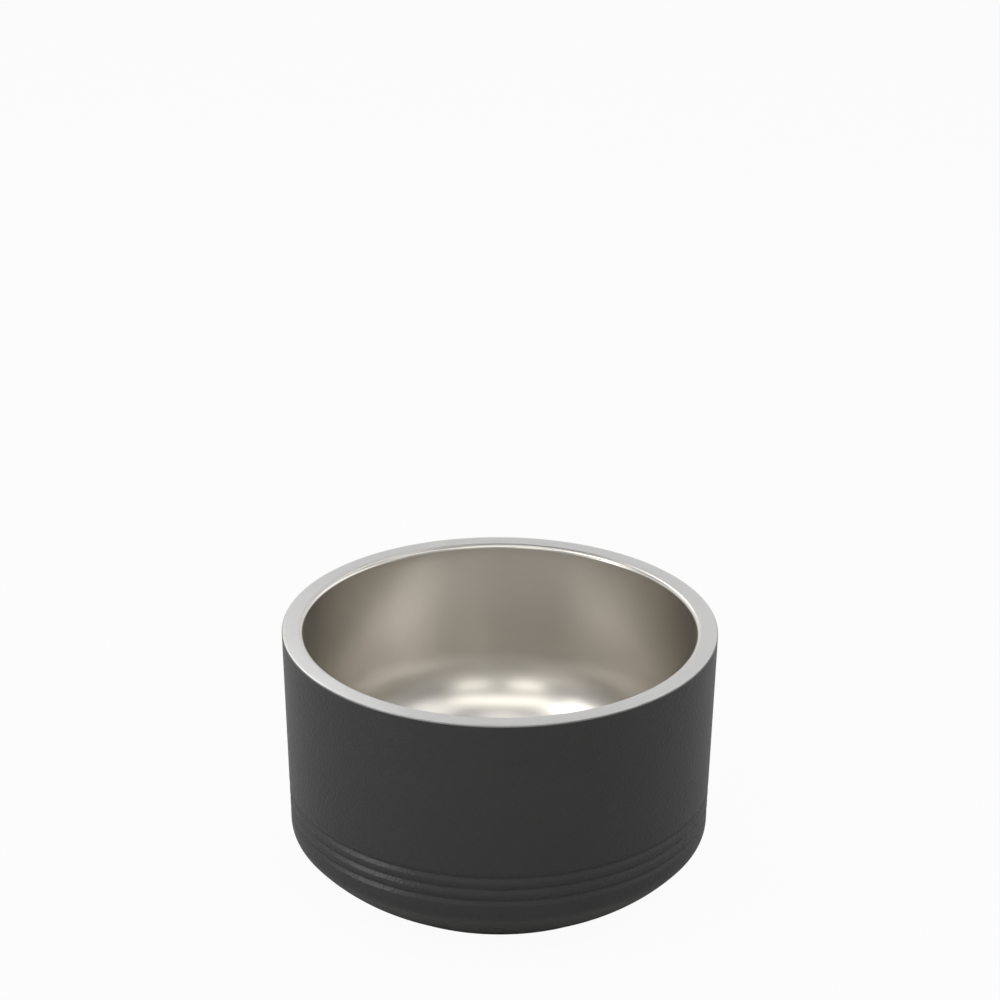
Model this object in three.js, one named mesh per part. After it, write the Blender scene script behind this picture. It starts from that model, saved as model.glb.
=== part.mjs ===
// Double-wall vacuum-insulated pet bowl, in millimetres, +Z up.
// The origin lies on the bowl's axis, on the surface that the bowl stands on.
// Every piece is turned about Z, so each is drawn as a profile of radius and height.
import * as THREE from 'three';

// Overall sizes
const RIM_DIAMETER = 165;
const HEIGHT = 101;

// Inner bowl
const RIM_WIDTH = 8;
const BOWL_DEPTH = 77;
const INNER_SHEET = 0.6;
const INNER_DRAFT = 1.5;
const FLOOR_FILLET = 34;
const LIP_RADIUS = 1.7;

// Outer shell
const OUTER_SHEET = 0.6;
const OUTER_DRAFT = 1.87;
const HEEL_CORNER_RADIUS = 8.2;
const HEEL_CORNER_END = 39.7;
const HEEL_SWEEP_RADIUS = 63.3;
const HEEL_SWEEP_END = 63.1;

// Rolled grooves, counted down from the rim
const GROOVE_COUNT = 3;
const GROOVE_DEPTH = 0.7;
const GROOVE_WIDTH = 4;
const GROOVE_PITCH = 4.85;
const FIRST_GROOVE_DROP = 64.3;

// Base pan
const PAN_SHEET = 0.6;
const PAN_FLANGE_ANGLE = 7;
const PAN_BEND_RADIUS = 2;
const CHANNEL_ROOF_HEIGHT = 3.9;
const CHANNEL_STEP = 1.7;
const CHANNEL_STEP_RUN = 2;
const DIMPLE_RADIUS = 9;
const DIMPLE_DEPTH = 3;
const DIMPLE_RUN = 3;
const EVACUATION_HOLE_RADIUS = 1.5;

// Rubber ring, its bond, and the cover disc
const RING_WIDTH = 10.5;
const RING_EDGE_RADIUS = 0.8;
const RING_STAND = 1.2;
const ADHESIVE_THICKNESS = 0.3;
const ADHESIVE_INSET = 0.8;
const COVER_SHEET = 0.5;

// Vacuum fittings
const SEAL_RADIUS = 4.5;
const SEAL_THICKNESS = 1.4;
const PELLET_RADIUS = 7;
const PELLET_THICKNESS = 2.4;
const PELLET_EDGE = 0.4;
const HOLDER_SHEET = 0.4;
const HOLDER_BEND = 0.5;
const HOLDER_FLANGE = 3;
const HOLDER_LIP = 2;
const FOIL_THICKNESS = 0.2;
const FOIL_MARGIN = 4;

// Clearances
const SEAT_GAP = 0.3;
const RING_CLEARANCE = 0.5;

// Facets
const TURN_SEGMENTS = 48;
const SMALL_TURN_SEGMENTS = 20;

const radians = THREE.MathUtils.degToRad;
const rimRadius = RIM_DIAMETER / 2;

// Unit vector to the right of a heading, which is measured anticlockwise from the outward radius.
function rightOf(heading) {
  return new THREE.Vector2(Math.sin(heading), -Math.cos(heading));
}

// One face of a sheet, drawn as straights and tangent bends.
class SheetLine {
  constructor(radius, height, headingDegrees) {
    this.points = [new THREE.Vector2(radius, height)];
    this.headings = [radians(headingDegrees)];
  }

  get end() {
    return this.points.at(-1);
  }

  get heading() {
    return this.headings.at(-1);
  }

  add(point, heading) {
    this.points.push(point);
    this.headings.push(heading);
    return this;
  }

  straight(length) {
    const along = new THREE.Vector2(Math.cos(this.heading), Math.sin(this.heading));
    return this.add(this.end.clone().addScaledVector(along, length), this.heading);
  }

  // A positive angle, in degrees, bends to the right.
  bend(radius, angleDegrees, steps) {
    const start = this.heading;
    const reach = Math.sign(angleDegrees) * radius;
    const centre = this.end.clone().addScaledVector(rightOf(start), reach);
    for (let step = 1; step <= steps; step += 1) {
      const heading = start - radians(angleDegrees) * step / steps;
      this.add(centre.clone().addScaledVector(rightOf(heading), -reach), heading);
    }
    return this;
  }

  // Two equal and opposite arcs that shift the line to the right over a run.
  ease(run, shift, stepsPerArc) {
    const radius = (run ** 2 + shift ** 2) / (4 * Math.abs(shift));
    const angle = 2 * THREE.MathUtils.radToDeg(Math.atan(shift / run));
    return this.bend(radius, angle, stepsPerArc).bend(radius, -angle, stepsPerArc);
  }

  // The same line moved to its right, at a constant distance.
  face(offset) {
    return this.points.map((point, i) => point.clone().addScaledVector(rightOf(this.headings[i]), offset));
  }

  // Closed outline of a sheet whose thickness lies to the right, or to the left if it is negative.
  outline(thickness) {
    return [...this.face(0), ...this.face(thickness).reverse()];
  }
}

// Turn a profile about Z. It starts and ends on the axis, or is closed here.
function turned(profile, segments) {
  const points = profile.map((point) => new THREE.Vector2(Math.max(point.x, 0), point.y));
  if (THREE.ShapeUtils.isClockWise(points)) points.reverse();
  const onAxis = points[0].x === 0 && points.at(-1).x === 0;
  if (!onAxis) points.push(points[0].clone());
  return new THREE.LatheGeometry(points, segments).rotateX(Math.PI / 2);
}

function finish(color, roughness, metalness) {
  return new THREE.MeshStandardMaterial({ color, roughness, metalness });
}

const bowl = new THREE.Group();

function addPiece(name, profile, material, segments = TURN_SEGMENTS) {
  const piece = new THREE.Mesh(turned(profile, segments), material);
  piece.name = name;
  bowl.add(piece);
}

function rectangle(innerRadius, outerRadius, bottom, top) {
  return [
    new THREE.Vector2(innerRadius, bottom),
    new THREE.Vector2(outerRadius, bottom),
    new THREE.Vector2(outerRadius, top),
    new THREE.Vector2(innerRadius, top),
  ];
}

// Inner bowl: floor, fillet, drafted wall, rounded lip and flat rim with a rounded outer edge
const floorTop = HEIGHT - BOWL_DEPTH;
const floorUnderside = floorTop - INNER_SHEET;
const innerDraft = radians(INNER_DRAFT);
const innerWallTop = HEIGHT - LIP_RADIUS * (1 - Math.sin(innerDraft));
const innerWallFoot = floorTop + FLOOR_FILLET * (1 - Math.sin(innerDraft));
const innerWallRise = innerWallTop - innerWallFoot;
const mouthRadius = rimRadius - RIM_WIDTH;
const innerFootRadius = mouthRadius - innerWallRise * Math.tan(innerDraft);
const rimFlat = RIM_WIDTH - INNER_SHEET - LIP_RADIUS * Math.cos(innerDraft);

function innerBowlProfile() {
  const sheet = new SheetLine(0, floorTop, 0)
    .straight(innerFootRadius - FLOOR_FILLET * Math.cos(innerDraft))
    .bend(FLOOR_FILLET, INNER_DRAFT - 90, 6)
    .straight(innerWallRise / Math.cos(innerDraft))
    .bend(LIP_RADIUS, 90 - INNER_DRAFT, 3)
    .straight(rimFlat);
  const underside = sheet.face(INNER_SHEET).reverse();
  sheet.bend(INNER_SHEET, 90, 2);
  return [...sheet.face(0), ...underside];
}

// Outer shell: tapered wall with rolled grooves, then a heel of a tight arc and a wide one
const shellTop = HEIGHT - INNER_SHEET;
const outerDraft = radians(OUTER_DRAFT);
const cornerEnd = radians(HEEL_CORNER_END);
const sweepEnd = radians(HEEL_SWEEP_END);
const cornerDrop = HEEL_CORNER_RADIUS * (Math.sin(cornerEnd) - Math.sin(outerDraft));
const cornerReach = HEEL_CORNER_RADIUS * (Math.cos(outerDraft) - Math.cos(cornerEnd));
const sweepDrop = HEEL_SWEEP_RADIUS * (Math.sin(sweepEnd) - Math.sin(cornerEnd));
const sweepReach = HEEL_SWEEP_RADIUS * (Math.cos(cornerEnd) - Math.cos(sweepEnd));
const shellWallFoot = RING_STAND + sweepDrop + cornerDrop;
const shellFootRadius = rimRadius - (shellTop - shellWallFoot) * Math.tan(outerDraft);
const shellMouthRadius = shellFootRadius - cornerReach - sweepReach;
const sweepCentre = new THREE.Vector2(
  shellMouthRadius - HEEL_SWEEP_RADIUS * Math.cos(sweepEnd),
  RING_STAND + HEEL_SWEEP_RADIUS * Math.sin(sweepEnd),
);

function outerShellProfile() {
  const sheet = new SheetLine(rimRadius, shellTop, -90 - OUTER_DRAFT);
  const straightTo = (height) => sheet.straight((sheet.end.y - height) / Math.cos(outerDraft));
  for (let groove = 0; groove < GROOVE_COUNT; groove += 1) {
    const middle = HEIGHT - FIRST_GROOVE_DROP - groove * GROOVE_PITCH;
    straightTo(middle + GROOVE_WIDTH / 2 * Math.cos(outerDraft));
    sheet.ease(GROOVE_WIDTH / 2, GROOVE_DEPTH, 2).ease(GROOVE_WIDTH / 2, -GROOVE_DEPTH, 2);
  }
  straightTo(shellWallFoot);
  sheet.bend(HEEL_CORNER_RADIUS, HEEL_CORNER_END - OUTER_DRAFT, 3);
  sheet.bend(HEEL_SWEEP_RADIUS, HEEL_SWEEP_END - HEEL_CORNER_END, 3);
  const outline = sheet.outline(OUTER_SHEET);
  // The top edge is cut level, where the rim is welded on.
  outline.at(-1).y = shellTop;
  return outline;
}

// Rubber ring: it fills the channel between the shell's lower edge and the pan's step
const shellEdgeRadius = shellMouthRadius - OUTER_SHEET * Math.cos(sweepEnd);
const ringOuter = shellEdgeRadius - RING_CLEARANCE;
const ringInner = ringOuter - RING_WIDTH;
const ringTop = CHANNEL_ROOF_HEIGHT - ADHESIVE_THICKNESS;

function nonSlipRingProfile() {
  const flat = RING_WIDTH - 2 * RING_EDGE_RADIUS;
  const foot = new SheetLine(ringInner, RING_EDGE_RADIUS, -90)
    .bend(RING_EDGE_RADIUS, -90, 2)
    .straight(flat)
    .bend(RING_EDGE_RADIUS, -90, 2);
  return [...foot.face(0), new THREE.Vector2(ringOuter, ringTop), new THREE.Vector2(ringInner, ringTop)];
}

// Base pan: flange nested in the heel, channel roof, step down to the panel, dimple with its hole
const panArcRadius = HEEL_SWEEP_RADIUS - OUTER_SHEET - SEAT_GAP;
const panBendSine = (sweepCentre.y - PAN_BEND_RADIUS - CHANNEL_ROOF_HEIGHT) / (panArcRadius - PAN_BEND_RADIUS);
const panFlangeEnd = THREE.MathUtils.radToDeg(Math.asin(panBendSine));
const panFlangeStart = panFlangeEnd - PAN_FLANGE_ANGLE;
const stepRadius = ringInner - RING_CLEARANCE;
const panelRadius = stepRadius - CHANNEL_STEP_RUN;
const panelHeight = CHANNEL_ROOF_HEIGHT - CHANNEL_STEP;
const dimpleRoof = panelHeight + DIMPLE_DEPTH;

function basePanProfile() {
  const start = new THREE.Vector2(Math.cos(radians(panFlangeStart)), -Math.sin(radians(panFlangeStart)))
    .multiplyScalar(panArcRadius)
    .add(sweepCentre);
  const sheet = new SheetLine(start.x, start.y, -90 - panFlangeStart)
    .bend(panArcRadius, PAN_FLANGE_ANGLE, 1)
    .bend(PAN_BEND_RADIUS, 90 - panFlangeEnd, 2);
  sheet.straight(sheet.end.x - stepRadius)
    .ease(CHANNEL_STEP_RUN, -CHANNEL_STEP, 2)
    .straight(panelRadius - DIMPLE_RADIUS)
    .ease(DIMPLE_RUN, DIMPLE_DEPTH, 2)
    .straight(DIMPLE_RADIUS - DIMPLE_RUN - EVACUATION_HOLE_RADIUS);
  return sheet.outline(PAN_SHEET);
}

function ringAdhesiveProfile() {
  return rectangle(ringInner + ADHESIVE_INSET, ringOuter - ADHESIVE_INSET, ringTop, CHANNEL_ROOF_HEIGHT);
}

// Cover disc, bonded under the panel
function baseCoverProfile() {
  return new SheetLine(0, panelHeight, 0)
    .straight(panelRadius - RING_CLEARANCE)
    .outline(COVER_SHEET);
}

// Solder bead: a low dome under the dimple's roof, with a stem in the evacuation hole
function vacuumSealProfile() {
  const stemRadius = EVACUATION_HOLE_RADIUS - SEAT_GAP;
  const domeRadius = (SEAL_RADIUS ** 2 + SEAL_THICKNESS ** 2) / (2 * SEAL_THICKNESS);
  const domeAngle = THREE.MathUtils.radToDeg(Math.asin(SEAL_RADIUS / domeRadius));
  const dome = new SheetLine(0, dimpleRoof - SEAL_THICKNESS, 0).bend(domeRadius, -domeAngle, 4);
  return [
    ...dome.face(0),
    new THREE.Vector2(stemRadius, dimpleRoof),
    new THREE.Vector2(stemRadius, dimpleRoof + PAN_SHEET),
    new THREE.Vector2(0, dimpleRoof + PAN_SHEET),
  ];
}

// Getter holder: a flanged cup under the inner floor, open below, with a lip that carries the pellet
const holderRadius = PELLET_RADIUS + SEAT_GAP;
const holderDepth = PELLET_THICKNESS + 2 * HOLDER_BEND;
const pelletBottom = floorUnderside - holderDepth;

function getterHolderProfile() {
  const flangeBend = HOLDER_BEND + HOLDER_SHEET;
  return new SheetLine(holderRadius + HOLDER_FLANGE, floorUnderside, 180)
    .straight(HOLDER_FLANGE - flangeBend)
    .bend(flangeBend, -90, 2)
    .straight(holderDepth - flangeBend - HOLDER_BEND)
    .bend(HOLDER_BEND, 90, 2)
    .straight(HOLDER_LIP)
    .outline(-HOLDER_SHEET);
}

function getterPelletProfile() {
  const pelletTop = pelletBottom + PELLET_THICKNESS;
  return [
    new THREE.Vector2(0, pelletBottom),
    new THREE.Vector2(PELLET_RADIUS - PELLET_EDGE, pelletBottom),
    new THREE.Vector2(PELLET_RADIUS, pelletBottom + PELLET_EDGE),
    new THREE.Vector2(PELLET_RADIUS, pelletTop - PELLET_EDGE),
    new THREE.Vector2(PELLET_RADIUS - PELLET_EDGE, pelletTop),
    new THREE.Vector2(0, pelletTop),
  ];
}

// Radiation foil: a sleeve that follows the inner wall's draft, outside it
function radiationFoilProfile() {
  const foot = innerWallFoot + FOIL_MARGIN;
  const rise = innerWallTop - FOIL_MARGIN - foot;
  const footRadius = innerFootRadius + FOIL_MARGIN * Math.tan(innerDraft);
  const standOff = (INNER_SHEET + SEAT_GAP) / Math.cos(innerDraft);
  return new SheetLine(footRadius + standOff, foot, 90 - INNER_DRAFT)
    .straight(rise / Math.cos(innerDraft))
    .outline(FOIL_THICKNESS);
}

addPiece('inner_bowl', innerBowlProfile(), finish(0xb4aea4, 0.35, 1));
addPiece('outer_shell', outerShellProfile(), finish(0x2b2b2b, 0.6, 0.1));
addPiece('base_pan', basePanProfile(), finish(0xa9a7a3, 0.4, 1));
addPiece('base_cover', baseCoverProfile(), finish(0xb5b3af, 0.35, 1));
addPiece('non_slip_ring', nonSlipRingProfile(), finish(0x1c1c1c, 0.9, 0));
addPiece('ring_adhesive', ringAdhesiveProfile(), finish(0xd8d4c8, 0.7, 0));
addPiece('radiation_foil', radiationFoilProfile(), finish(0xd0d2d4, 0.3, 1));
addPiece('vacuum_seal', vacuumSealProfile(), finish(0x55584f, 0.2, 0), SMALL_TURN_SEGMENTS);
addPiece('getter_holder', getterHolderProfile(), finish(0xb9b6b0, 0.4, 1), SMALL_TURN_SEGMENTS);
addPiece('getter_pellet', getterPelletProfile(), finish(0x6a6762, 0.8, 0.3), SMALL_TURN_SEGMENTS);

export default bowl;
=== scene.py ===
"""Double-wall steel pet bowl: its finished pieces, materials and studio, laid out as an add-on.

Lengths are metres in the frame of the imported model: +Z up along the bowl's axis, z 0 on the floor.
"""

import math

import bpy
from mathutils import Matrix, Vector


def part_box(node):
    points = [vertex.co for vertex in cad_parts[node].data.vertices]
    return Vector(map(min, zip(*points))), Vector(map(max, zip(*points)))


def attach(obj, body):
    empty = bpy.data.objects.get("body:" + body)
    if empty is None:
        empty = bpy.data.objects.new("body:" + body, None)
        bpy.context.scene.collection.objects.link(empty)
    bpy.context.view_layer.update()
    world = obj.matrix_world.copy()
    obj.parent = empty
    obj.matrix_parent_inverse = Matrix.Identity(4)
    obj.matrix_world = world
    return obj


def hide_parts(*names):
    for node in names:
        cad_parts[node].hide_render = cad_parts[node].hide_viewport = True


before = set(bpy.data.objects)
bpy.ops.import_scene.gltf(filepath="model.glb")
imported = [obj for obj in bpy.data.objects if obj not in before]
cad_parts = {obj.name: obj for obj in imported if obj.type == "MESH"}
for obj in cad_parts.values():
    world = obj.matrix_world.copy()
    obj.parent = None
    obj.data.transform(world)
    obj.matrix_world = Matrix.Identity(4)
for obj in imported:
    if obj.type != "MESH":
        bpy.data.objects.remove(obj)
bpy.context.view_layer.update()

bl_info = {
    "name": "Pet Bowl",
    "version": (1, 0, 0),
    "blender": (4, 5, 0),
    "location": "View3D > Sidebar > Pet Bowl",
    "description": "Double-wall steel pet bowl with a powder-coated outside",
    "category": "Object",
}

MM = 0.001
WALL_STEPS = 256
BASE_STEPS = 192
SWEEP_STEPS = 96
SMOOTH_ANGLE = 40
SWEEP_SMOOTH_ANGLE = 60
MERGE_DISTANCE = 0.002 * MM
EMPTY_DISTANCE = 0.001 * MM
SHORTEST_FLANK = 0.01 * MM
SHEET = 0.6 * MM
RING_WIDTH = 10.5 * MM
SENSOR_WIDTH = 36.0
CAMERA_SIDE = -0.3 * MM
QUARTER = math.pi / 2
INNER_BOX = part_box("inner_bowl")
RIM_CORNER = INNER_BOX[1]
SHELL_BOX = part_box("outer_shell")
RING_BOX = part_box("non_slip_ring")
COVER_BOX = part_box("base_cover")

NEUTRAL = (1.0, 1.0, 1.0)
WARM = (1.0, 0.98, 0.92)

# Softboxes: name, azimuth and elevation in degrees, width and height in metres, power in watts, colour
LAMPS = (
    ("lamp_front", 359, 53, 1.3, 0.28, 2.9, WARM),
    ("lamp_front_left", 342, 30, 0.45, 0.25, 0.95, WARM),
    ("lamp_front_right", 18, 30, 0.45, 0.25, 0.75, WARM),
    ("lamp_left", 288, 48, 0.75, 0.6, 4.1, NEUTRAL),
    ("lamp_left_front", 293, 5, 0.45, 0.22, 2.6, NEUTRAL),
    ("lamp_right", 105, 28, 1.2, 0.45, 2.2, NEUTRAL),
    ("lamp_right_high", 66, 50, 0.6, 0.6, 1.6, NEUTRAL),
    ("lamp_top", 320, 82, 0.8, 0.5, 1.6, NEUTRAL),
    ("lamp_back_left", 210, 42, 0.5, 0.5, 2.0, NEUTRAL),
    ("lamp_back_right", 146, 55, 0.5, 0.6, 1.4, NEUTRAL),
)


def length_prop(name, description, default):
    return bpy.props.FloatProperty(
        name=name, description=description, default=default, min=0.0, precision=5,
        subtype="DISTANCE", unit="LENGTH",
    )


def angle_prop(name, description, degrees):
    return bpy.props.FloatProperty(
        name=name, description=description, default=math.radians(degrees),
        subtype="ANGLE", unit="ROTATION",
    )


def colour_prop(name, description, default):
    return bpy.props.FloatVectorProperty(
        name=name, description=description, default=default, size=3, min=0.0, max=1.0,
        subtype="COLOR",
    )


def share_prop(name, description, default):
    return bpy.props.FloatProperty(
        name=name, description=description, default=default, min=0.0, max=1.0, subtype="FACTOR",
    )


class PetBowlSizes(bpy.types.PropertyGroup):
    """Sizes of the sheet pieces, as drawn."""

    rim_diameter: length_prop("Rim diameter", "Across the outer edge of the rim", 2 * RIM_CORNER.x)
    height: length_prop("Height", "From the floor to the top of the rim", RIM_CORNER.z)
    sheet: length_prop("Sheet", "Thickness of the walls", SHEET)
    rim_width: length_prop("Rim width", "From the outer edge of the rim to the inner wall", 8 * MM)
    depth: length_prop(
        "Depth", "From the rim down to the inner floor", RIM_CORNER.z - INNER_BOX[0].z - SHEET)
    fillet: length_prop("Floor fillet", "Radius between the inner wall and the floor", 34 * MM)
    inner_draft: angle_prop("Inner draft", "Lean of the inner wall", 1.5)
    lip: length_prop("Lip", "Radius of the inner edge of the rim", 1.7 * MM)
    shell_top: length_prop("Shell top", "Height of the outer wall's upper edge", SHELL_BOX[1].z)
    shell_foot: length_prop("Shell foot", "Height of the heel's lower edge", SHELL_BOX[0].z)
    outer_draft: angle_prop("Outer draft", "Lean of the outer wall", 1.87)
    corner_radius: length_prop("Heel corner", "Radius of the tight arc of the heel", 8.2 * MM)
    corner_end: angle_prop("Corner end", "Slope at which the tight arc ends", 39.7)
    sweep_radius: length_prop("Heel sweep", "Radius of the wide arc of the heel", 63.3 * MM)
    sweep_end: angle_prop("Sweep end", "Slope at which the wide arc ends", 63.1)
    groove_count: bpy.props.IntProperty(
        name="Grooves", description="Rolled grooves in the outer wall", default=3, min=0, max=8)
    groove_drop: length_prop("First groove", "Middle of the top groove, below the rim", 64.3 * MM)
    groove_pitch: length_prop("Groove pitch", "From one groove to the next", 4.85 * MM)
    groove_width: length_prop("Groove width", "Width of a groove", 4 * MM)
    groove_depth: length_prop("Groove depth", "Depth of a groove", 0.7 * MM)
    groove_corner: length_prop("Groove corner", "Radius of the bends of a groove", 1 * MM)
    ring_inner: length_prop(
        "Ring inner radius", "Inner radius of the rubber ring", RING_BOX[1].x - RING_WIDTH)
    ring_outer: length_prop("Ring outer radius", "Outer radius of the rubber ring", RING_BOX[1].x)
    ring_top: length_prop("Ring top", "Height of the rubber ring", RING_BOX[1].z)
    ring_edge: length_prop("Ring edge", "Radius of the rubber ring's lower edges", 0.8 * MM)
    channel_roof: length_prop("Channel roof", "Height of the pan over the rubber ring", 3.9 * MM)
    channel_step: length_prop("Channel step", "From the channel's roof down to the panel", 1.7 * MM)
    cover_radius: length_prop("Cover radius", "Radius of the cover disc", COVER_BOX[1].x)
    cover_sheet: length_prop("Cover sheet", "Thickness of the cover disc", COVER_BOX[1].z - COVER_BOX[0].z)
    cover_edge: length_prop("Cover edge", "Radius of the cover disc's edges", 0.2 * MM)
    seat_gap: length_prop("Seat gap", "Gap that stands for the weld in the heel", 0.3 * MM)
    flange_sweep: angle_prop("Flange sweep", "Part of the heel's wide arc that the pan's flange follows", 7)
    flange_bend: length_prop("Flange bend", "Radius from the pan's flange into the channel", 2 * MM)
    channel_inset: length_prop("Channel inset", "From the ring's inside to the channel's step", 0.5 * MM)
    channel_run: length_prop("Channel run", "Width of the slope from the channel down to the panel", 2 * MM)
    dimple_radius: length_prop("Dimple radius", "Outer radius of the dimple in the pan", 9 * MM)
    dimple_run: length_prop("Dimple run", "Width of the dimple's slope", 3 * MM)
    dimple_rise: length_prop("Dimple rise", "Height of the dimple", 3 * MM)
    hole_radius: length_prop("Hole radius", "Radius of the evacuation hole in the dimple", 1.5 * MM)


class PetBowlFinish(bpy.types.PropertyGroup):
    """Colours and roughness of the finishes."""

    inside_steel: colour_prop("Inside steel", "Satin steel of the inner wall", (0.642, 0.618, 0.578))
    rim_steel: colour_prop("Rim steel", "Satin steel of the rim", (0.62, 0.615, 0.61))
    coat: colour_prop("Powder coat", "Black powder coat", (0.03, 0.03, 0.0306))
    base_steel: colour_prop("Base steel", "Pressed steel of the base", (0.56, 0.55, 0.53))
    rubber: colour_prop("Rubber", "Rubber of the ring", (0.018, 0.018, 0.019))
    satin: share_prop("Satin roughness", "Roughness of the satin steel", 0.28)
    coat_roughness: share_prop("Coat roughness", "Roughness of the powder coat", 0.37)
    pan_roughness: share_prop("Pan roughness", "Roughness of the base pan", 0.4)
    cover_roughness: share_prop("Cover roughness", "Roughness of the cover disc", 0.38)
    clip_roughness: share_prop("Clip roughness", "Roughness of the getter's holder", 0.4)


class PetBowlStudio(bpy.types.PropertyGroup):
    """Camera, backdrop and light of the room."""

    distance: length_prop("Camera distance", "From the camera to its target", 1.5529)
    pitch: angle_prop("Camera pitch", "How far the camera looks down", 23.96)
    roll: angle_prop("Camera roll", "Turn about the line of sight", 0.38)
    target: length_prop("Target height", "Height of the camera's target above the rim", 52.57 * MM)
    lens: bpy.props.FloatProperty(
        name="Lens", description="Focal length on a 36 mm sensor", default=149.76, min=1.0, unit="CAMERA")
    sweep_radius: length_prop("Backdrop radius", "From the bowl to the backdrop", 2.4)
    sweep_height: length_prop("Backdrop height", "Height of the backdrop behind the bowl", 1.9)
    sweep_front: length_prop("Backdrop front", "Height of the backdrop in front of the bowl", 0.4)
    sweep_corner: length_prop("Backdrop corner", "Radius from the floor up to the backdrop", 0.6)
    sweep_colour: colour_prop("Backdrop", "Pale floor and backdrop", (0.6, 0.6, 0.6))
    sweep_white: share_prop("White", "How far the floor and backdrop are lifted to plain white", 0.95)
    sweep_near: length_prop("Near floor", "Radius from which a mirrored floor is lifted", 0.4)
    sweep_far: length_prop("Far floor", "Radius from which a mirrored floor is lifted in full", 0.9)
    room: colour_prop("Room", "Dim light of the room", (0.22, 0.22, 0.22))
    lamp_distance: length_prop("Lamp distance", "From the lamps to the bowl", 1.3)


class Shade:
    """A shader socket that takes part in Python expressions."""

    def __init__(self, finish, socket):
        self.finish = finish
        self.socket = socket

    def maths(self, operation, *values):
        return self.finish.node("ShaderNodeMath", {"operation": operation}, dict(enumerate(values)))

    def largest(self, other):
        return self.maths("MAXIMUM", self, other)

    def __add__(self, other):
        return self.maths("ADD", self, other)

    def __sub__(self, other):
        return self.maths("SUBTRACT", self, other)

    def __mul__(self, other):
        return self.maths("MULTIPLY", self, other)

    def __truediv__(self, other):
        return self.maths("DIVIDE", self, other)

    def __radd__(self, other):
        return self.maths("ADD", other, self)

    def __rsub__(self, other):
        return self.maths("SUBTRACT", other, self)

    def __rmul__(self, other):
        return self.maths("MULTIPLY", other, self)

    def __rtruediv__(self, other):
        return self.maths("DIVIDE", other, self)


class Finish:
    """A procedural material on one Principled shader."""

    def __init__(self, name, **constants):
        self.material = bpy.data.materials.new(name)
        self.material.use_nodes = True
        self.tree = self.material.node_tree
        self.shader = self.tree.nodes["Principled BSDF"]
        for socket, value in constants.items():
            self.shader.inputs[socket.replace("_", " ")].default_value = value
        self.place = self.node("ShaderNodeTexCoord", output="Object")
        parts = self.node("ShaderNodeSeparateXYZ", inputs={0: self.place}).socket.node.outputs
        self.x, self.y, self.z = (Shade(self, parts[axis]) for axis in "XYZ")

    def node(self, kind, settings=None, inputs=None, output=0):
        made = self.tree.nodes.new(kind)
        for name, value in (settings or {}).items():
            setattr(made, name, value)
        for name, value in (inputs or {}).items():
            if isinstance(value, Shade):
                self.tree.links.new(value.socket, made.inputs[name])
            else:
                made.inputs[name].default_value = value
        return Shade(self, made.outputs[output])

    def noise(self, scale, detail=2.0, roughness=0.5, vector=None):
        return self.node("ShaderNodeTexNoise", inputs={
            "Vector": vector or self.place, "Scale": scale, "Detail": detail, "Roughness": roughness})

    def cells(self, scale, feature="SMOOTH_F1"):
        return self.node("ShaderNodeTexVoronoi", {"feature": feature}, {
            "Vector": self.place, "Scale": scale})

    def step(self, value, low, high):
        return self.node("ShaderNodeMapRange", {"interpolation_type": "SMOOTHSTEP"}, {
            "Value": value, "From Min": low, "From Max": high})

    def mix(self, factor, first, second):
        return self.node("ShaderNodeMix", {"data_type": "RGBA"}, {
            "Factor": factor, 6: first, 7: second}, output=2)

    def radius(self):
        square = self.x * self.x + self.y * self.y
        return square.maths("SQRT", square)

    def turned_lines(self, radius, pitch, wander=1.5):
        along = (radius + self.z) / pitch
        vector = self.node("ShaderNodeCombineXYZ", inputs={
            0: along, 1: self.x / radius * wander, 2: self.y / radius * wander})
        return self.noise(1.0, detail=3.0, roughness=0.6, vector=vector)

    def bump(self, height, distance, strength=1.0):
        return self.node("ShaderNodeBump", inputs={
            "Height": height, "Distance": distance, "Strength": strength})

    def feed(self, **sockets):
        for name, value in sockets.items():
            self.tree.links.new(value.socket, self.shader.inputs[name.replace("_", " ")])
        return self.material


def rgba(colour, scale=1.0):
    """A colour for a socket, made darker or lighter."""
    return (*(min(1.0, channel * scale) for channel in colour), 1.0)


def satin_steel(name, colour, rim_colour, rim_from, rim_to, rim_edge, roughness):
    """Satin sheet. The flat rim is neutral, with fine turned lines, and its outer edge is darker and
    rougher: painted shade there damps the edge's highlight.
    """
    steel = Finish(name, Metallic=1.0)
    radius = steel.radius()
    lines = steel.turned_lines(radius, pitch=0.2 * MM)
    cloud = steel.noise(38.0, detail=3.0)
    rim = steel.step(radius, rim_from, rim_to)
    # painted shade: a mask for the rim's outer edge, which is darkened to damp its highlight and made
    # rougher
    painted_edge_shade = steel.step(radius, low=rim_edge - 0.45 * MM, high=rim_edge - 0.1 * MM)
    body = steel.mix(cloud, rgba(colour, 0.97), rgba(colour, 1.03))
    edge = steel.mix(lines, rgba(rim_colour, 0.97), rgba(rim_colour, 1.03))
    # painted shade: the rim colour falls to about a third at the outer edge
    edge = steel.mix(painted_edge_shade, edge, rgba(rim_colour, 0.35))
    return steel.feed(
        Base_Color=steel.mix(rim, body, edge),
        Roughness=cloud * 0.02 + painted_edge_shade * 0.2 + roughness,
        Normal=steel.bump(lines * rim, distance=0.08 * MM),
    )


def powder_coat(name, colour, roughness):
    """Matt coat with the fine grain of melted powder."""
    coat = Finish(name, Specular_IOR_Level=0.42)
    grain = coat.noise(1100.0, roughness=0.55)
    beads = coat.cells(850.0)
    cloud = coat.noise(45.0)
    return coat.feed(
        Base_Color=coat.mix(grain * 0.6 + cloud * 0.4, rgba(colour, 0.78), rgba(colour, 1.22)),
        Roughness=(grain - 0.5) * 0.12 + (cloud - 0.5) * 0.04 + roughness,
        Normal=coat.bump(grain * 0.65 + beads * 0.35, distance=0.28 * MM),
    )


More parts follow.
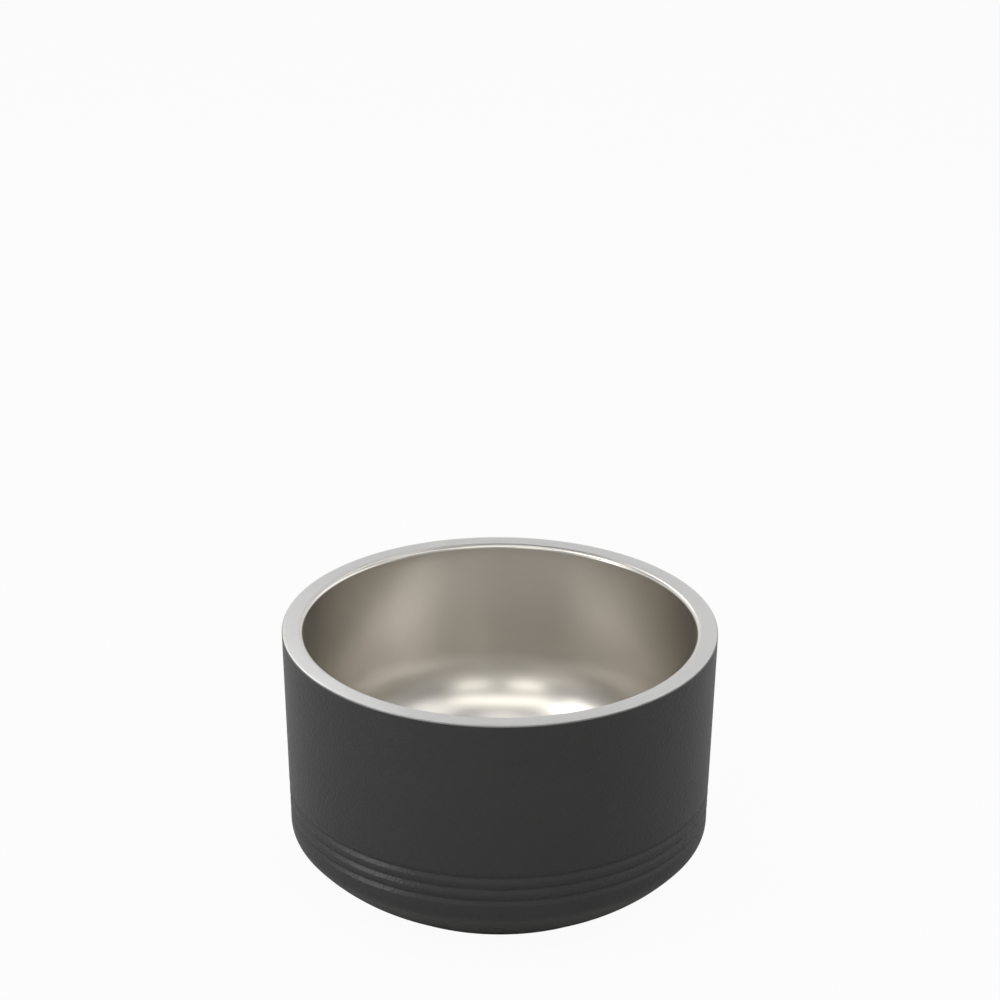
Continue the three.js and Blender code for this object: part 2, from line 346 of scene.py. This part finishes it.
def pressed_steel(name, colour, roughness):
    """Bare pressed sheet with turned lines and a little cloudiness."""
    steel = Finish(name, Metallic=1.0)
    lines = steel.turned_lines(steel.radius(), pitch=0.5 * MM, wander=3.0)
    cloud = steel.noise(60.0, detail=3.0)
    return steel.feed(
        Base_Color=steel.mix(cloud, rgba(colour, 0.92), rgba(colour, 1.06)),
        Roughness=(lines - 0.5) * 0.12 + (cloud - 0.5) * 0.08 + roughness,
        Normal=steel.bump(lines, distance=0.006 * MM, strength=0.7),
    )


def moulded_rubber(name, colour):
    """Matt rubber with the fine texture of its mould."""
    rubber = Finish(name, Specular_IOR_Level=0.35)
    texture = rubber.noise(2200.0)
    bloom = rubber.noise(70.0, detail=3.0)
    return rubber.feed(
        Base_Color=rubber.mix(bloom, rgba(colour, 0.85), rgba(colour, 1.35)),
        Roughness=(texture - 0.5) * 0.15 + 0.78,
        Normal=rubber.bump(texture, distance=0.06 * MM, strength=0.5),
    )


def cured_bond(name):
    """Pale bond, smeared by hand."""
    bond = Finish(name)
    smear = bond.noise(160.0, detail=4.0)
    return bond.feed(
        Base_Color=bond.mix(smear, rgba((0.62, 0.6, 0.52)), rgba((0.76, 0.74, 0.66))),
        Roughness=smear * 0.3 + 0.45,
        Normal=bond.bump(smear, distance=0.1 * MM, strength=0.4),
    )


def crinkled_foil(name):
    """Bright thin foil with creases and dents."""
    foil = Finish(name, Metallic=1.0)
    creases = foil.cells(190.0, feature="DISTANCE_TO_EDGE")
    dents = foil.noise(110.0, detail=3.0)
    return foil.feed(
        Base_Color=foil.mix(dents, rgba((0.76, 0.76, 0.77)), rgba((0.86, 0.86, 0.87))),
        Roughness=dents * 0.16 + 0.14,
        Normal=foil.bump(creases + dents, distance=0.4 * MM, strength=0.6),
    )


def solder_glass(name):
    """Dark glassy bead with swirls."""
    glass = Finish(name, Coat_Roughness=0.08, Specular_IOR_Level=0.6)
    swirl = glass.noise(420.0, detail=4.0, roughness=0.6)
    return glass.feed(
        Base_Color=glass.mix(swirl, rgba((0.07, 0.08, 0.06)), rgba((0.15, 0.16, 0.13))),
        Roughness=swirl * 0.2 + 0.12,
        Coat_Weight=swirl * 0.5 + 0.3,
        Normal=glass.bump(swirl, distance=0.08 * MM, strength=0.4),
    )


def sintered_pellet(name):
    """Dull pressed powder with pores."""
    pellet = Finish(name, Metallic=0.35)
    pores = pellet.cells(2600.0)
    grains = pellet.noise(3200.0, detail=3.0)
    return pellet.feed(
        Base_Color=pellet.mix(pores, rgba((0.07, 0.068, 0.065)), rgba((0.2, 0.195, 0.185))),
        Roughness=grains * 0.25 + 0.6,
        Normal=pellet.bump(pores * 0.7 + grains * 0.3, distance=0.12 * MM, strength=0.8),
    )


class SheetPen:
    """Draws one face of a sheet in the XZ plane.

    Its end point is extruded along straights and spun round bends.
    """

    def __init__(self, name, radius, height, heading):
        bpy.ops.object.select_all(action="DESELECT")
        bpy.ops.mesh.primitive_plane_add(size=MM, enter_editmode=True)
        bpy.ops.mesh.merge(type="CENTER")
        bpy.ops.transform.translate(value=(radius, 0.0, height))
        self.piece = bpy.context.object
        self.piece.name = name
        self.piece.data.name = name
        self.end = Vector((radius, 0.0, height))
        self.heading = heading

    def right(self, heading):
        return Vector((math.sin(heading), 0.0, -math.cos(heading)))

    def straight(self, length, steps=1):
        stride = Vector((math.cos(self.heading), 0.0, math.sin(self.heading))) * (length / steps)
        for _ in range(steps):
            bpy.ops.mesh.extrude_region_move(TRANSFORM_OT_translate={"value": stride})
            self.end = self.end + stride
        return self

    def bend(self, radius, angle, steps):
        """A positive angle bends to the right."""
        reach = math.copysign(radius, angle)
        centre = self.end + self.right(self.heading) * reach
        bpy.ops.mesh.spin(steps=steps, angle=-angle, center=centre, axis=(0.0, 1.0, 0.0))
        self.heading -= angle
        self.end = centre - self.right(self.heading) * reach
        return self

    def ease(self, run, shift, steps, corner=None):
        """Shift the line to the right over a run: a bend, a straight flank and a bend back.

        Without a corner radius the two bends fill the run.
        """
        corner = corner or (run ** 2 + shift ** 2) / (4 * abs(shift))
        gap = 2 * corner - abs(shift)
        reach = math.hypot(run, gap)
        angle = math.copysign(math.asin(min(1.0, 2 * corner / reach)) - math.atan2(gap, run), shift)
        flank = math.sqrt(max(0.0, reach ** 2 - 4 * corner ** 2))
        self.bend(corner, angle, steps)
        if flank > SHORTEST_FLANK:
            self.straight(flank)
        return self.bend(corner, -angle, steps)

    def turn(self, steps):
        """Spin the line round the bowl's axis, and close its seam and poles."""
        bpy.ops.mesh.select_all(action="SELECT")
        bpy.ops.mesh.spin(steps=steps, angle=math.tau, center=(0.0, 0.0, 0.0), axis=(0.0, 0.0, 1.0))
        tidy_edit_mesh()
        bpy.ops.object.mode_set(mode="OBJECT")
        return self.piece


def tidy_edit_mesh():
    """Merge doubles, drop empty faces and turn all faces outwards."""
    bpy.ops.mesh.select_all(action="SELECT")
    bpy.ops.mesh.remove_doubles(threshold=MERGE_DISTANCE)
    bpy.ops.mesh.dissolve_degenerate(threshold=EMPTY_DISTANCE)
    bpy.ops.mesh.select_all(action="SELECT")
    bpy.ops.mesh.normals_make_consistent(inside=False)


def thicken(piece, thickness, towards):
    """Give a turned face its sheet thickness, which lies towards this direction at the first face."""
    first = piece.data.polygons[0]
    side = 1.0 if first.normal.dot(Vector(towards)) > 0 else -1.0
    sheet = piece.modifiers.new("Sheet", "SOLIDIFY")
    sheet.thickness = thickness
    sheet.offset = side
    sheet.use_even_offset = True
    sheet.use_quality_normals = True
    bpy.ops.object.modifier_apply(modifier=sheet.name)
    bpy.ops.object.mode_set(mode="EDIT")
    tidy_edit_mesh()
    bpy.ops.object.mode_set(mode="OBJECT")


def smooth(piece, degrees):
    """Shade a piece smooth, with its sharper edges kept."""
    bpy.ops.object.select_all(action="DESELECT")
    piece.select_set(True)
    bpy.context.view_layer.objects.active = piece
    bpy.ops.object.shade_smooth_by_angle(angle=math.radians(degrees))


def hand_over(piece, node, material):
    """Dress a finished piece and let it stand for its node."""
    piece.data.materials.append(material)
    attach(piece, "root")
    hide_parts(node)


class PETBOWL_OT_inner_bowl(bpy.types.Operator):
    """Spin the inner bowl: floor, fillet, wall, lip and flat rim in one sheet"""

    bl_idname = "pet_bowl.inner_bowl"
    bl_label = "Inner bowl"

    def execute(self, context):
        size = context.scene.pet_bowl_sizes
        finish = context.scene.pet_bowl_finish
        draft = size.inner_draft
        floor = size.height - size.depth
        wall_top = size.height - size.lip * (1 - math.sin(draft))
        wall_foot = floor + size.fillet * (1 - math.sin(draft))
        mouth = size.rim_diameter / 2 - size.rim_width
        foot = mouth - (wall_top - wall_foot) * math.tan(draft)
        rim_flat = size.rim_width - size.sheet - size.lip * math.cos(draft)
        pen = SheetPen("inner_bowl_sheet", 0.0, floor, 0.0)
        pen.straight(foot - size.fillet * math.cos(draft), steps=10)
        pen.bend(size.fillet, draft - QUARTER, steps=24)
        pen.straight((wall_top - wall_foot) / math.cos(draft), steps=10)
        pen.bend(size.lip, QUARTER - draft, steps=10)
        pen.straight(rim_flat, steps=4)
        pen.bend(size.sheet, QUARTER, steps=6)
        piece = pen.turn(WALL_STEPS)
        thicken(piece, size.sheet, (0.0, 0.0, -1.0))
        smooth(piece, SMOOTH_ANGLE)
        steel = satin_steel(
            "bowl_satin_steel", finish.inside_steel, finish.rim_steel, roughness=finish.satin,
            rim_from=mouth + 0.6 * size.lip, rim_to=mouth + 1.1 * size.lip, rim_edge=size.rim_diameter / 2)
        hand_over(piece, "inner_bowl", steel)
        return {"FINISHED"}


class PETBOWL_OT_outer_shell(bpy.types.Operator):
    """Spin the outer shell: tapered wall, rolled grooves and the two arcs of the heel"""

    bl_idname = "pet_bowl.outer_shell"
    bl_label = "Outer shell"

    def execute(self, context):
        size = context.scene.pet_bowl_sizes
        finish = context.scene.pet_bowl_finish
        draft = size.outer_draft
        foot = heel(size)["wall_foot"]
        pen = SheetPen("outer_shell_sheet", size.rim_diameter / 2, size.shell_top, -QUARTER - draft)

        def straight_to(height, steps):
            pen.straight((pen.end.z - height) / math.cos(draft), steps)

        for groove in range(size.groove_count):
            middle = size.height - size.groove_drop - groove * size.groove_pitch
            straight_to(middle + size.groove_width / 2 * math.cos(draft), steps=2 if groove else 14)
            for shift in (size.groove_depth, -size.groove_depth):
                pen.ease(size.groove_width / 2, shift, steps=5, corner=size.groove_corner)
        straight_to(foot, steps=3)
        pen.bend(size.corner_radius, size.corner_end - draft, steps=14)
        pen.bend(size.sweep_radius, size.sweep_end - size.corner_end, steps=14)
        piece = pen.turn(WALL_STEPS)
        thicken(piece, size.sheet, (-1.0, 0.0, 0.0))
        level_top(piece, size.shell_top)
        smooth(piece, SMOOTH_ANGLE)
        coat = powder_coat("shell_powder_coat", finish.coat, finish.coat_roughness)
        hand_over(piece, "outer_shell", coat)
        return {"FINISHED"}


def level_top(piece, height):
    """Cut a sheet's upper edge level, where the rim is welded on."""
    for vertex in piece.data.vertices:
        if vertex.co.z > height:
            vertex.co.z = height


def heel(size):
    """Height at which the heel's arcs start, and the middle of its wide arc."""
    draft = size.outer_draft
    corner, sweep = size.corner_end, size.sweep_end
    corner_drop = size.corner_radius * (math.sin(corner) - math.sin(draft))
    corner_reach = size.corner_radius * (math.cos(draft) - math.cos(corner))
    sweep_drop = size.sweep_radius * (math.sin(sweep) - math.sin(corner))
    sweep_reach = size.sweep_radius * (math.cos(corner) - math.cos(sweep))
    wall_foot = size.shell_foot + sweep_drop + corner_drop
    foot_radius = size.rim_diameter / 2 - (size.shell_top - wall_foot) * math.tan(draft)
    edge = foot_radius - corner_reach - sweep_reach
    centre = Vector((edge - size.sweep_radius * math.cos(sweep), 0.0,
                     size.shell_foot + size.sweep_radius * math.sin(sweep)))
    return {"wall_foot": wall_foot, "centre": centre}


class PETBOWL_OT_base_pan(bpy.types.Operator):
    """Spin the base pan: flange in the heel, channel for the ring, panel and dimple"""

    bl_idname = "pet_bowl.base_pan"
    bl_label = "Base pan"

    def execute(self, context):
        size = context.scene.pet_bowl_sizes
        finish = context.scene.pet_bowl_finish
        centre = heel(size)["centre"]
        arc = size.sweep_radius - size.sheet - size.seat_gap
        bend = size.flange_bend
        flange_end = math.asin((centre.z - bend - size.channel_roof) / (arc - bend))
        flange_start = flange_end - size.flange_sweep
        start = centre + Vector((math.cos(flange_start), 0.0, -math.sin(flange_start))) * arc
        step = size.ring_inner - size.channel_inset
        pen = SheetPen("base_pan_pressing", start.x, start.z, -QUARTER - flange_start)
        pen.bend(arc, size.flange_sweep, steps=8)
        pen.bend(bend, QUARTER - flange_end, steps=6)
        pen.straight(pen.end.x - step, steps=4)
        pen.ease(size.channel_run, -size.channel_step, steps=5)
        pen.straight(step - size.channel_run - size.dimple_radius, steps=8)
        pen.ease(size.dimple_run, size.dimple_rise, steps=5)
        pen.straight(size.dimple_radius - size.dimple_run - size.hole_radius, steps=2)
        piece = pen.turn(BASE_STEPS)
        thicken(piece, size.sheet, (-1.0, 0.0, 1.0))
        smooth(piece, SMOOTH_ANGLE)
        steel = pressed_steel("pan_steel", finish.base_steel, finish.pan_roughness)
        hand_over(piece, "base_pan", steel)
        return {"FINISHED"}


class PETBOWL_OT_base_cover(bpy.types.Operator):
    """Spin the cover disc with its blanked, rounded edge"""

    bl_idname = "pet_bowl.base_cover"
    bl_label = "Base cover"

    def execute(self, context):
        size = context.scene.pet_bowl_sizes
        finish = context.scene.pet_bowl_finish
        edge = size.cover_edge
        top = size.channel_roof - size.channel_step
        pen = SheetPen("base_cover_disc", 0.0, top - size.cover_sheet, 0.0)
        pen.straight(size.cover_radius - edge, steps=12)
        pen.bend(edge, -QUARTER, steps=4)
        pen.straight(size.cover_sheet - 2 * edge)
        pen.bend(edge, -QUARTER, steps=4)
        pen.straight(size.cover_radius - edge, steps=2)
        piece = pen.turn(BASE_STEPS)
        smooth(piece, SMOOTH_ANGLE)
        steel = pressed_steel("disc_steel", finish.base_steel, finish.cover_roughness)
        hand_over(piece, "base_cover", steel)
        return {"FINISHED"}


class PETBOWL_OT_non_slip_ring(bpy.types.Operator):
    """Spin the rubber ring that the bowl stands on"""

    bl_idname = "pet_bowl.non_slip_ring"
    bl_label = "Non-slip ring"

    def execute(self, context):
        size = context.scene.pet_bowl_sizes
        finish = context.scene.pet_bowl_finish
        edge = size.ring_edge
        width = size.ring_outer - size.ring_inner
        pen = SheetPen("non_slip_ring_moulding", size.ring_inner, edge, -QUARTER)
        pen.bend(edge, -QUARTER, steps=6)
        pen.straight(width - 2 * edge, steps=3)
        pen.bend(edge, -QUARTER, steps=6)
        pen.straight(size.ring_top - edge, steps=2)
        pen.heading = math.pi
        pen.straight(width, steps=2)
        pen.heading = -QUARTER
        pen.straight(size.ring_top - edge, steps=2)
        piece = pen.turn(BASE_STEPS)
        smooth(piece, SMOOTH_ANGLE)
        rubber = moulded_rubber("ring_rubber", finish.rubber)
        hand_over(piece, "non_slip_ring", rubber)
        return {"FINISHED"}


class PETBOWL_OT_vacuum_fittings(bpy.types.Operator):
    """Dress the pieces of the vacuum space and the bond of the ring, which keep their own shapes"""

    bl_idname = "pet_bowl.vacuum_fittings"
    bl_label = "Vacuum fittings"

    def execute(self, context):
        finish = context.scene.pet_bowl_finish
        dress = {
            "ring_adhesive": cured_bond("ring_bond"),
            "radiation_foil": crinkled_foil("shield_foil"),
            "vacuum_seal": solder_glass("solder_glass"),
            "getter_holder": pressed_steel("clip_steel", finish.base_steel, finish.clip_roughness),
            "getter_pellet": sintered_pellet("pellet_metal"),
        }
        for node, material in dress.items():
            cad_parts[node].material_slots[0].material = material
        return {"FINISHED"}


class PETBOWL_OT_studio(bpy.types.Operator):
    """Set the camera, the pale floor and backdrop, and the soft lamps"""

    bl_idname = "pet_bowl.studio"
    bl_label = "Studio"

    def execute(self, context):
        scene = context.scene
        studio = scene.pet_bowl_studio
        scene.view_settings.view_transform = "Standard"
        add_camera(scene, studio, scene.pet_bowl_sizes.height)
        add_sweep(studio)
        scene.world = bpy.data.worlds.new("room")
        scene.world.use_nodes = True
        scene.world.node_tree.nodes["Background"].inputs["Color"].default_value = rgba(studio.room)
        for name, azimuth, elevation, width, height, power, colour in LAMPS:
            add_lamp(name, azimuth, elevation, studio.lamp_distance, (width, height), power, colour)
        return {"FINISHED"}


def add_camera(scene, studio, height):
    """Set the camera in front of the bowl, looking down at it."""
    data = bpy.data.cameras.new("camera")
    data.lens = studio.lens
    data.sensor_width = SENSOR_WIDTH
    camera = bpy.data.objects.new("camera", data)
    scene.collection.objects.link(camera)
    scene.camera = camera
    pitch = studio.pitch
    place = Vector((CAMERA_SIDE, -studio.distance * math.cos(pitch),
                    height + studio.target + studio.distance * math.sin(pitch)))
    look = Matrix.Rotation(QUARTER - pitch, 4, "X") @ Matrix.Rotation(studio.roll, 4, "Z")
    camera.matrix_world = Matrix.Translation(place) @ look


def add_sweep(studio):
    """Spin a round floor that sweeps up into a backdrop, and cut its top on a slant."""
    corner = studio.sweep_corner
    pen = SheetPen("studio_sweep", 0.0, 0.0, 0.0)
    pen.straight(studio.sweep_radius - corner)
    pen.bend(corner, -QUARTER, steps=10)
    pen.straight(studio.sweep_height - corner)
    sweep = pen.turn(SWEEP_STEPS)
    slope = (studio.sweep_height - studio.sweep_front) / (2 * studio.sweep_radius)
    bpy.ops.object.mode_set(mode="EDIT")
    bpy.ops.mesh.select_all(action="SELECT")
    bpy.ops.mesh.bisect(
        plane_co=(0.0, studio.sweep_radius, studio.sweep_height),
        plane_no=(0.0, -slope, 1.0), clear_outer=True)
    bpy.ops.object.mode_set(mode="OBJECT")
    smooth(sweep, SWEEP_SMOOTH_ANGLE)
    sweep.data.materials.append(sweep_paper(studio))


def sweep_paper(studio):
    """Pale paper, lifted towards white where it is seen, and in reflections away from the bowl."""
    paper = Finish(
        "sweep_paper", Roughness=0.9, Specular_IOR_Level=0.0, Base_Color=rgba(studio.sweep_colour))
    straight, mirrored, through = (
        paper.node("ShaderNodeLightPath", output=ray)
        for ray in ("Is Camera Ray", "Is Glossy Ray", "Is Transmission Ray"))
    away = paper.step(paper.radius(), studio.sweep_near, studio.sweep_far)
    lift = straight.largest(through).largest(mirrored * away) * studio.sweep_white
    glow = paper.node("ShaderNodeEmission", inputs={"Color": rgba(NEUTRAL)})
    plain = Shade(paper, paper.shader.outputs[0])
    lifted = paper.node("ShaderNodeMixShader", inputs={0: lift, 1: plain, 2: glow})
    surface = paper.tree.nodes["Material Output"].inputs["Surface"]
    paper.tree.links.new(lifted.socket, surface)
    return paper.material


def add_lamp(name, azimuth, elevation, distance, size, power, colour):
    """Add a softbox that faces the bowl. Azimuth 0 is the camera's side, and 90 is the right."""
    data = bpy.data.lights.new(name, "AREA")
    data.shape = "RECTANGLE"
    data.size, data.size_y = size
    data.energy = power
    data.color = colour
    lamp = bpy.data.objects.new(name, data)
    bpy.context.scene.collection.objects.link(lamp)
    turn, rise = math.radians(azimuth), math.radians(elevation)
    away = Vector((math.sin(turn) * math.cos(rise), -math.cos(turn) * math.cos(rise), math.sin(rise)))
    lamp.location = away * distance + Vector((0.0, 0.0, SHELL_BOX[1].z / 2))
    lamp.rotation_euler = away.to_track_quat("Z", "Y").to_euler()
    lamp.visible_camera = False


class PETBOWL_PT_sidebar(bpy.types.Panel):
    """Pieces and studio of the pet bowl"""

    bl_idname = "PETBOWL_PT_sidebar"
    bl_label = "Pet Bowl"
    bl_space_type = "VIEW_3D"
    bl_region_type = "UI"
    bl_category = "Pet Bowl"

    def draw(self, context):
        for operator in OPERATORS:
            self.layout.operator(operator.bl_idname)
        for group in GROUPS:
            settings = getattr(context.scene, group)
            box = self.layout.box()
            for name in settings.__annotations__:
                box.prop(settings, name)


OPERATORS = (
    PETBOWL_OT_inner_bowl,
    PETBOWL_OT_outer_shell,
    PETBOWL_OT_base_pan,
    PETBOWL_OT_base_cover,
    PETBOWL_OT_non_slip_ring,
    PETBOWL_OT_vacuum_fittings,
    PETBOWL_OT_studio,
)
GROUPS = {
    "pet_bowl_sizes": PetBowlSizes,
    "pet_bowl_finish": PetBowlFinish,
    "pet_bowl_studio": PetBowlStudio,
}


def register():
    for group in GROUPS.values():
        bpy.utils.register_class(group)
    for name, group in GROUPS.items():
        setattr(bpy.types.Scene, name, bpy.props.PointerProperty(type=group))
    for operator in (*OPERATORS, PETBOWL_PT_sidebar):
        bpy.utils.register_class(operator)


def unregister():
    for operator in (PETBOWL_PT_sidebar, *reversed(OPERATORS)):
        bpy.utils.unregister_class(operator)
    for name in GROUPS:
        delattr(bpy.types.Scene, name)
    for group in reversed(GROUPS.values()):
        bpy.utils.unregister_class(group)


def main():
    register()
    bpy.ops.pet_bowl.inner_bowl()
    bpy.ops.pet_bowl.outer_shell()
    bpy.ops.pet_bowl.base_pan()
    bpy.ops.pet_bowl.base_cover()
    bpy.ops.pet_bowl.non_slip_ring()
    bpy.ops.pet_bowl.vacuum_fittings()
    bpy.ops.pet_bowl.studio()


if __name__ == "__main__":
    main()
